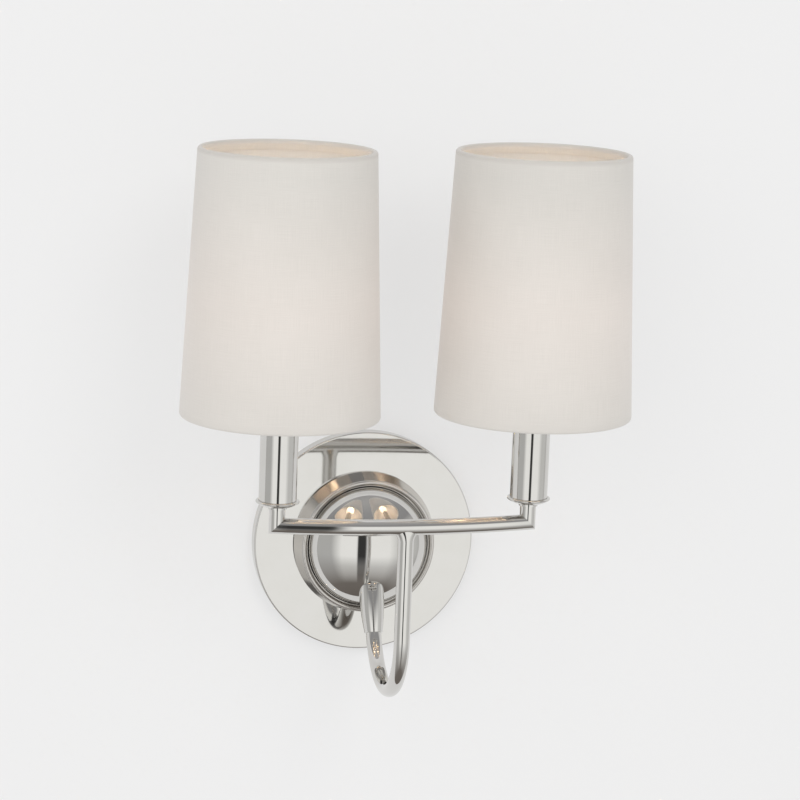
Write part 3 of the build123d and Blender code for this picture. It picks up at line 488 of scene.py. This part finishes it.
def make_candles():
    """The dishes with their beads, and the sleeves that stand in them."""
    bore, neck, neck_rise, bead, bead_at, wall = 0.0036, 0.0056, 0.0012, 0.0008, 0.012, 0.0112
    neck_top, bead_low = RISER_TOP + neck_rise, DISH_FLOOR - bead / 2
    under = (neck + 0.55 * (bead_at - neck), neck_top + 0.35 * (bead_low - neck_top))
    dish = straight((bore, RISER_TOP), (neck, RISER_TOP))
    dish += straight((neck, RISER_TOP), (neck, neck_top))[1:]
    dish += arc_through((neck, neck_top), under, (bead_at, bead_low), 33)[1:]
    dish += arc((bead_at, bead_low + bead), bead, -90, 90, 21)[1:]
    dish += straight((bead_at, bead_low + 2 * bead), (wall, bead_low + 2 * bead))[1:]
    dish += straight((wall, bead_low + 2 * bead), (wall, DISH_FLOOR))[1:]
    dish += straight((wall, DISH_FLOOR), (bore, DISH_FLOOR))[1:]
    inner = SLEEVE_R - SLEEVE_WALL
    sleeve = straight((inner, DISH_FLOOR), (SLEEVE_R, DISH_FLOOR))
    sleeve += straight((SLEEVE_R, DISH_FLOOR), (SLEEVE_R, SLEEVE_TOP))[1:]
    sleeve += straight((SLEEVE_R, SLEEVE_TOP), (inner, SLEEVE_TOP))[1:]
    for name, side in SIDES:
        dress(turned_up("polished_dish_" + name, dish, side, MATERIALS["polished_nickel"]), "dish_" + name)
        piece = turned_up("candle_sleeve_shell_" + name, sleeve, side, MATERIALS["sleeve_nickel"])
        dress(piece, "candle_sleeve_" + name)


# ---- Shades ---------------------------------------------------------------------------------------
# The third colour paints the top hem's upper half darker than the rest of the linen; the bottom hem keeps the
# linen's colour.
LINEN_DARK, LINEN_PALE, LINEN_TOP_HEM_DARKER = (0.62, 0.60, 0.563), (0.675, 0.652, 0.614), (0.565, 0.540, 0.505)
# The glow colour below, and the heights over which it rises and falls, paint a glow on the linen: emission
# standing in for the bulb's light shining through it.
LINEN_PAINTED_GLOW = (0.085, 0.055, 0.045)
PAINTED_GLOW_RISE, PAINTED_GLOW_FALL, TOP_HEM_DARKER_FROM = (0.10, 0.165), (0.175, 0.245), (0.2538, 0.2560)   # heights
SHADE_LOW, SHADE_TOP = 0.1016, 0.257
SHADE_BOTTOM_R, SHADE_TOP_R = 0.0582, 0.0514
SHADE_SKIN = 0.0007
LINEN_ROUND = 0.36                      # how much weave the texture's coordinates lay round the shade
HEM = 0.00175
FOLD, FOLD_DROP, FOLD_GAP = 0.0045, 0.0008, 0.00005


def make_linen():
    """Off-white linen on a stiff liner, with a warm painted glow around the bulb's height that stands in for
    the bulb's light through the cloth.
    """
    n = Nodes("shade_linen")
    n.set(roughness=0.92, sheen_weight=0.25)
    fine = n.noise(1.0, 2.0, (60, 2600, 1), "UV")
    across = n.noise(1.0, 2.0, (2600, 60, 1), "UV")
    cloud = n.noise(14.0, 3.0)
    weave = n.new("Math", operation="ADD")
    n.link(fine, weave.inputs[0])
    n.link(across, weave.inputs[1])
    height = n.new("SeparateXYZ")
    n.link(n.coords.outputs["Object"], height.inputs[0])
    tint = n.new("Math", operation="MULTIPLY_ADD")
    n.link(weave.outputs[0], tint.inputs[0])
    tint.inputs[1].default_value = 0.7
    n.link(cloud, tint.inputs[2])
    linen = n.blend(n.ramp(tint.outputs[0], 0.9, 1.5, 0, 1), LINEN_DARK, LINEN_PALE)
    # The top hem's upper half is painted darker than the rest of the linen.
    top_hem_darker = n.blend(n.ramp(height.outputs["Z"], *TOP_HEM_DARKER_FROM, 0, 1), (0, 0, 0), LINEN_TOP_HEM_DARKER)
    n.link(linen, top_hem_darker.node.inputs["A"])
    n.link(top_hem_darker, n.shader.inputs["Base Color"])
    # Painted glow: emission round the bulb's height, in place of the bulb's light through the linen.
    painted_glow = n.new("Math", operation="MULTIPLY")
    n.link(n.ramp(height.outputs["Z"], *PAINTED_GLOW_RISE, 0.25, 1.0), painted_glow.inputs[0])
    n.link(n.ramp(height.outputs["Z"], *PAINTED_GLOW_FALL, 1.0, 0.1), painted_glow.inputs[1])
    n.link(n.blend(painted_glow.outputs[0], (0.0, 0.0, 0.0), LINEN_PAINTED_GLOW), n.shader.inputs["Emission Color"])
    n.shader.inputs["Emission Strength"].default_value = 1.0
    n.bump(weave.outputs[0], 0.00012, 0.5)
    return n.material


def make_shades():
    """Tapered drums whose skin rolls over the wire rings and ends against its own inside."""
    low, high = SHADE_LOW + HEM, SHADE_TOP - HEM
    bottom_c, top_c = SHADE_BOTTOM_R - HEM, SHADE_TOP_R - HEM
    inner = HEM - SHADE_SKIN
    slope = (SHADE_BOTTOM_R - SHADE_TOP_R) / (high - low)
    top_hem_r = SHADE_TOP_R - SHADE_SKIN + slope * FOLD
    low_hem_r = SHADE_BOTTOM_R - SHADE_SKIN - slope * FOLD
    rise = np.linspace(0, 1, 60)
    outside = [(SHADE_BOTTOM_R + (SHADE_TOP_R - SHADE_BOTTOM_R) * t, low + (high - low) * t) for t in rise]
    profile = outside[1:-1]
    profile += arc((top_c, high), HEM, 0, 180, 13)
    profile += [(top_c - HEM, high - FOLD_DROP), (top_hem_r - SHADE_SKIN, high - FOLD)]
    profile += [(top_hem_r - FOLD_GAP, high - FOLD), (top_c - inner, high - FOLD_DROP)]
    profile += arc((top_c, high), inner, 180, 0, 13)
    profile += [(r - SHADE_SKIN, h) for r, h in outside[-2:0:-1]]
    profile += arc((bottom_c, low), inner, 0, -180, 13)
    profile += [(bottom_c - inner, low + FOLD_DROP), (low_hem_r - FOLD_GAP, low + FOLD)]
    profile += [(low_hem_r - SHADE_SKIN, low + FOLD), (bottom_c - HEM, low + FOLD_DROP)]
    profile += arc((bottom_c, low), HEM, -180, 0, 13)
    steps = 288
    for name, side in SIDES:
        verts, faces = lathe_data(profile, steps, True)
        along = np.cumsum([0] + [math.dist(a, b) for a, b in zip(profile, profile[1:])])
        uvs = [(i / steps * LINEN_ROUND, v) for i in range(steps) for v in along]
        verts = [(x + side * CANDLE_X, y + CANDLE_Y, z) for x, y, z in verts]
        shade = add_mesh("linen_shade_" + name, verts, faces, MATERIALS["shade_linen"], uvs)
        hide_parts("shade_skin_" + name)
        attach(shade, "shade_" + name)


# ---- Room -----------------------------------------------------------------------------------------
WORLD_LEVEL, BACKDROP = 0.83, 0.835
WALL_SIZE, WALL_PLACE, WALL_GREY = 4, (0, 0.0006, 0.2), 0.86
WALL_LEVEL, WALL_SHARE = 0.84, 0.62
LIGHT_AIM, BULB_HEIGHT = (0, -0.06, 0.05), 0.165
# The studio round the object, as the polish mirrors it: two bright panels with a dark gap between
# them, a dimmer panel to the right and an even surround. Degrees round from the front to the right.
SURROUND, PANEL, DIM_PANEL, GAP = 0.56, 1.08, 0.69, 0.05
LEFT_SPAN, GAP_SPAN, RIGHT_SPAN, DIM_SPAN = (-40, -16), (-14, -3), (1, 35), (55, 78)
PANEL_FADE = 16
AROUND = [(-180, SURROUND), (LEFT_SPAN[0] - PANEL_FADE, SURROUND)]
AROUND += [(angle, PANEL) for angle in LEFT_SPAN] + [(angle, GAP) for angle in GAP_SPAN]
AROUND += [(angle, PANEL) for angle in RIGHT_SPAN] + [(angle, DIM_PANEL) for angle in DIM_SPAN]
AROUND += [(DIM_SPAN[1] + PANEL_FADE, SURROUND), (180, SURROUND)]
# Angle in degrees, colour, and in the last place how much of AROUND shows there.
ABOVE = [(-90, (0.17, 0.15, 0.135, 0)), (-62, (0.2, 0.18, 0.165, 0)), (-48, (0.24, 0.22, 0.205, 0.3)),
         (-33, (0.34, 0.33, 0.32, 0.5)), (-17, (0.4, 0.4, 0.4, 1)), (16, (0.36, 0.36, 0.36, 1)),
         (27, (0.34, 0.34, 0.345, 0)), (48, (0.38, 0.38, 0.385, 0)), (66, (0.48, 0.475, 0.47, 0)),
         (90, (0.42, 0.42, 0.42, 0))]


def add_light(name, kind, energy, colour, place, aim=None, **values):
    """A lamp that the polished metal doesn't mirror."""
    data = bpy.data.lights.new(name, kind)
    data.energy = energy
    data.color = colour
    for key, value in values.items():
        setattr(data, key, value)
    lamp = bpy.data.objects.new(name, data)
    lamp.location = place
    if aim is not None:
        lamp.rotation_euler = (Vector(aim) - Vector(place)).to_track_quat("-Z", "Y").to_euler()
    lamp.visible_glossy = False
    bpy.context.scene.collection.objects.link(lamp)


def make_world():
    """Even light on everything, and for the polish the studio's panels with a dark gap between them."""
    world = bpy.data.worlds.new("studio")
    bpy.context.scene.world = world
    world.use_nodes = True
    tree = world.node_tree
    link = tree.links.new
    plain = tree.nodes["Background"]
    plain.inputs["Color"].default_value = (1, 1, 1, 1)
    plain.inputs["Strength"].default_value = WORLD_LEVEL
    split = tree.nodes.new("ShaderNodeSeparateXYZ")
    link(tree.nodes.new("ShaderNodeTexCoord").outputs["Generated"], split.inputs[0])

    def maths(operation, first, second=None):
        node = tree.nodes.new("ShaderNodeMath")
        node.operation = operation
        link(first, node.inputs[0])
        if second is not None:
            link(second, node.inputs[1])
        return node.outputs[0]

    def ramp(source, low, high, stops):
        """A run of colours over an angle in degrees."""
        spread = tree.nodes.new("ShaderNodeMapRange")
        spread.inputs["From Min"].default_value = math.radians(low)
        spread.inputs["From Max"].default_value = math.radians(high)
        link(source, spread.inputs["Value"])
        node = tree.nodes.new("ShaderNodeValToRGB")
        link(spread.outputs["Result"], node.inputs["Fac"])
        marks = node.color_ramp.elements
        while len(marks) < len(stops):
            marks.new(0.5)
        for mark, (angle, colour) in zip(marks, stops):
            mark.position = (angle - low) / (high - low)
            mark.color = colour
        return node.outputs

    turned = maths("MULTIPLY", split.outputs["Y"])
    turned.node.inputs[1].default_value = -1
    azimuth = maths("ARCTAN2", split.outputs["X"], turned)
    elevation = maths("ARCSINE", split.outputs["Z"])
    around = ramp(azimuth, -180, 180, [(angle, (v, v, v * 0.985, 1)) for angle, v in AROUND])
    above = ramp(elevation, -90, 90, ABOVE)
    mix = tree.nodes.new("ShaderNodeMix")
    mix.data_type = "RGBA"
    link(above["Alpha"], mix.inputs["Factor"])
    link(above["Color"], mix.inputs["A"])
    link(around["Color"], mix.inputs["B"])
    studio = tree.nodes.new("ShaderNodeBackground")
    link(mix.outputs["Result"], studio.inputs["Color"])
    backdrop = tree.nodes.new("ShaderNodeBackground")
    backdrop.inputs["Color"].default_value = (BACKDROP, BACKDROP, BACKDROP, 1)
    rays = tree.nodes.new("ShaderNodeLightPath")
    shown = plain
    for ray, source in (("Is Glossy Ray", studio), ("Is Camera Ray", backdrop)):
        choose = tree.nodes.new("ShaderNodeMixShader")
        link(rays.outputs[ray], choose.inputs[0])
        link(shown.outputs[0], choose.inputs[1])
        link(source.outputs[0], choose.inputs[2])
        shown = choose
    link(shown.outputs[0], tree.nodes["World Output"].inputs["Surface"])


def shine_through(n, level, share):
    """Camera, mirror and glass rays see the wall partly at an even level, with its shadow kept.
    From behind, and for the light on the object, the wall is clear, so that the back can be seen."""

    def maths(operation, first, second):
        node = n.new("Math", operation=operation)
        for socket, value in zip(node.inputs, (first, second)):
            if isinstance(value, float):
                socket.default_value = value
            else:
                n.link(value, socket)
        return node.outputs[0]

    rays = n.new("LightPath").outputs
    seen = maths("MAXIMUM", maths("MAXIMUM", rays["Is Camera Ray"], rays["Is Glossy Ray"]),
                 rays["Is Transmission Ray"])
    front = maths("SUBTRACT", 1.0, n.new("NewGeometry").outputs["Backfacing"])
    even = n.new("Emission")
    even.inputs["Color"].default_value = (level, level, level, 1)
    paint = n.new("MixShader")
    paint.inputs[0].default_value = share
    n.link(n.shader.outputs[0], paint.inputs[1])
    n.link(even.outputs[0], paint.inputs[2])
    mix = n.new("MixShader")
    n.link(maths("MULTIPLY", seen, front), mix.inputs[0])
    n.link(n.new("BsdfTransparent").outputs[0], mix.inputs[1])
    n.link(paint.outputs[0], mix.inputs[2])
    n.link(mix.outputs[0], n.tree.nodes["Material Output"].inputs["Surface"])


def make_room():
    """A pale wall behind the sconce and a soft studio around it."""
    bpy.context.scene.view_settings.view_transform = "Standard"
    make_world()
    bpy.ops.mesh.primitive_plane_add(size=WALL_SIZE, location=WALL_PLACE, rotation=(math.pi / 2, 0, 0))
    wall = bpy.context.object
    wall.name = "stage_wall"
    n = Nodes("wall_paint")
    n.set(base_color=(WALL_GREY, WALL_GREY, WALL_GREY, 1), roughness=0.9)
    shine_through(n, WALL_LEVEL, WALL_SHARE)
    wall.data.materials.append(n.material)
    add_light("key", "AREA", 25, (1, 1, 1), (0.9, -3.2, 2.3), LIGHT_AIM, shape="SQUARE", size=1.7)
    add_light("fill", "AREA", 20, (1, 1, 1), (-1.9, -2.7, 1.1), LIGHT_AIM, shape="SQUARE", size=2.2)
    for name, side in SIDES:
        add_light("bulb_" + name, "POINT", 0.62, (1.0, 0.86, 0.73), (side * CANDLE_X, CANDLE_Y, BULB_HEIGHT),
                  shadow_soft_size=0.015)


make_camera()
dress_cad()
make_plate()
make_collar()
make_dome()
make_ferrule()
make_arm()
make_bar()
make_risers()
make_candles()
make_shades()
make_room()
